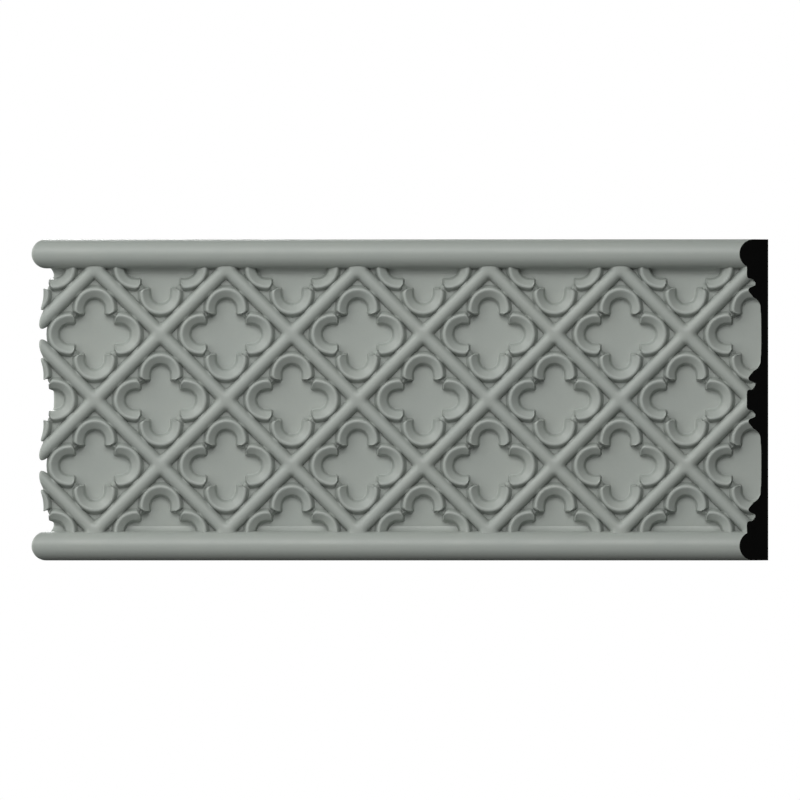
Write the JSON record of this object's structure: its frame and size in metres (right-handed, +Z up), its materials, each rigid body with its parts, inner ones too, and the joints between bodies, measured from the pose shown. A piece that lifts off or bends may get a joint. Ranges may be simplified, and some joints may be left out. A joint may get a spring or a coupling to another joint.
{
  "type": "panel moulding",
  "caption": "Straight cast wall moulding with a half-round bead along each edge and a lattice of diagonal ribs that frames quatrefoils, cut for a mitre at both ends.",
  "frame": {"origin": "centre of the flat back face", "axes": "+X along the strip, +Z up across its width, +Y out of the back into the wall; the carving faces -Y"},
  "size_m": [0.4805, 0.0191, 0.2096],
  "materials": {
    "painted_casting": "satin sage-grey paint over a fine cast surface"
  },
  "bodies": {
    "root": {"panel_moulding": "painted_casting"}
  },
  "joints": []
}
